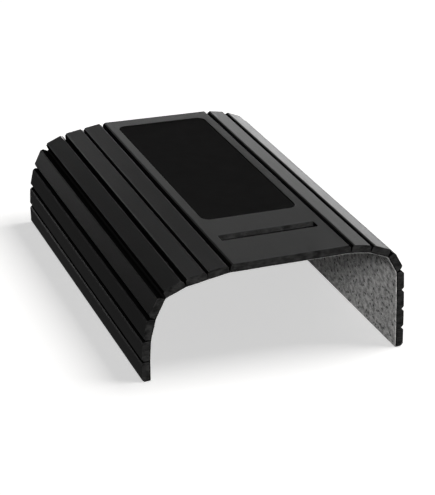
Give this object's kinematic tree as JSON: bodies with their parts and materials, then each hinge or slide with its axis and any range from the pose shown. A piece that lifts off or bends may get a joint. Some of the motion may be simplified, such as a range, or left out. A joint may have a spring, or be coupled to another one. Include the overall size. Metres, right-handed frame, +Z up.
{
  "type": "sofa arm tray",
  "caption": "Wooden tray that drapes over a sofa's arm: a flat board with a grip pad and a phone slot, and a folding wing of slats on each side, all on a felt backing.",
  "frame": {"origin": "on the surface that the tray stands on, midway between the outer faces of its wings and between its two ends", "axes": "+X across the sofa's arm, to the right when the slot's end faces the viewer; +Y along the arm, from the slot's end to the pad's; +Z up. The board leans 3.14 degrees about Y, its left side lower, because the left wing is more folded and reaches less far down"},
  "size_m": [0.2862, 0.356, 0.1225],
  "materials": {
    "black_wood": "satin black lacquer",
    "pad_foam": "matt black foam",
    "backing_felt": "flecked grey felt"
  },
  "bodies": {
    "tray": {"tray_board": "black_wood", "grip_pad": "pad_foam", "backing_centre": "backing_felt"},
    "left_slat_1": {"slat_left_1": "black_wood", "backing_left_1": "backing_felt"},
    "left_slat_2": {"slat_left_2": "black_wood", "backing_left_2": "backing_felt"},
    "left_slat_3": {"slat_left_3": "black_wood", "backing_left_3": "backing_felt"},
    "left_slat_4": {"slat_left_4": "black_wood", "backing_left_4": "backing_felt"},
    "left_slat_5": {"slat_left_5": "black_wood", "backing_left_5": "backing_felt"},
    "left_slat_6": {"slat_left_6": "black_wood", "backing_left_6": "backing_felt"},
    "left_slat_7": {"slat_left_7": "black_wood", "backing_left_7": "backing_felt"},
    "right_slat_1": {"slat_right_1": "black_wood", "backing_right_1": "backing_felt"},
    "right_slat_2": {"slat_right_2": "black_wood", "backing_right_2": "backing_felt"},
    "right_slat_3": {"slat_right_3": "black_wood", "backing_right_3": "backing_felt"},
    "right_slat_4": {"slat_right_4": "black_wood", "backing_right_4": "backing_felt"},
    "right_slat_5": {"slat_right_5": "black_wood", "backing_right_5": "backing_felt"},
    "right_slat_6": {"slat_right_6": "black_wood", "backing_right_6": "backing_felt"},
    "right_slat_7": {"slat_right_7": "black_wood", "backing_right_7": "backing_felt"}
  },
  "joints": [
    {"name": "left_hinge_1", "type": "hinge", "parent": "tray", "child": "left_slat_1", "pos_m": [-0.06156, 0, 0.10668], "axis": [0, -1, 0], "range_deg": [-10, 30]},
    {"name": "left_hinge_2", "type": "hinge", "parent": "left_slat_1", "child": "left_slat_2", "pos_m": [-0.08298, 0, 0.10167], "axis": [0, -1, 0], "range_deg": [0, 40]},
    {"name": "left_hinge_3", "type": "hinge", "parent": "left_slat_2", "child": "left_slat_3", "pos_m": [-0.10441, 0, 0.09667], "axis": [0, -1, 0], "range_deg": [-14, 26]},
    {"name": "left_hinge_4", "type": "hinge", "parent": "left_slat_3", "child": "left_slat_4", "pos_m": [-0.12399, 0, 0.08664], "axis": [0, -1, 0], "range_deg": [-42.5, 5.5]},
    {"name": "left_hinge_5", "type": "hinge", "parent": "left_slat_4", "child": "left_slat_5", "pos_m": [-0.13164, 0, 0.06601], "axis": [0, -1, 0], "range_deg": [-13.5, 26.5]},
    {"name": "left_hinge_6", "type": "hinge", "parent": "left_slat_5", "child": "left_slat_6", "pos_m": [-0.13427, 0, 0.04417], "axis": [0, -1, 0], "range_deg": [-9.5, 30.5]},
    {"name": "left_hinge_7", "type": "hinge", "parent": "left_slat_6", "child": "left_slat_7", "pos_m": [-0.13326, 0, 0.02219], "axis": [0, -1, 0], "range_deg": [-3.5, 36.5]},
    {"name": "right_hinge_1", "type": "hinge", "parent": "tray", "child": "right_slat_1", "pos_m": [0.06505, 0, 0.11362], "axis": [0, 1, 0], "range_deg": [-9, 31]},
    {"name": "right_hinge_2", "type": "hinge", "parent": "right_slat_1", "child": "right_slat_2", "pos_m": [0.08693, 0, 0.11137], "axis": [0, 1, 0], "range_deg": [-12.5, 27.5]},
    {"name": "right_hinge_3", "type": "hinge", "parent": "right_slat_2", "child": "right_slat_3", "pos_m": [0.10781, 0, 0.10444], "axis": [0, 1, 0], "range_deg": [-36.5, 3.5]},
    {"name": "right_hinge_4", "type": "hinge", "parent": "right_slat_3", "child": "right_slat_4", "pos_m": [0.12048, 0, 0.08645], "axis": [0, 1, 0], "range_deg": [-25, 15]},
    {"name": "right_hinge_5", "type": "hinge", "parent": "right_slat_4", "child": "right_slat_5", "pos_m": [0.12435, 0, 0.0648], "axis": [0, 1, 0], "range_deg": [-0.5, 39.5]},
    {"name": "right_hinge_6", "type": "hinge", "parent": "right_slat_5", "child": "right_slat_6", "pos_m": [0.12803, 0, 0.0431], "axis": [0, 1, 0], "range_deg": [-1, 39]},
    {"name": "right_hinge_7", "type": "hinge", "parent": "right_slat_6", "child": "right_slat_7", "pos_m": [0.13134, 0, 0.02135], "axis": [0, 1, 0], "range_deg": [0, 40]}
  ]
}
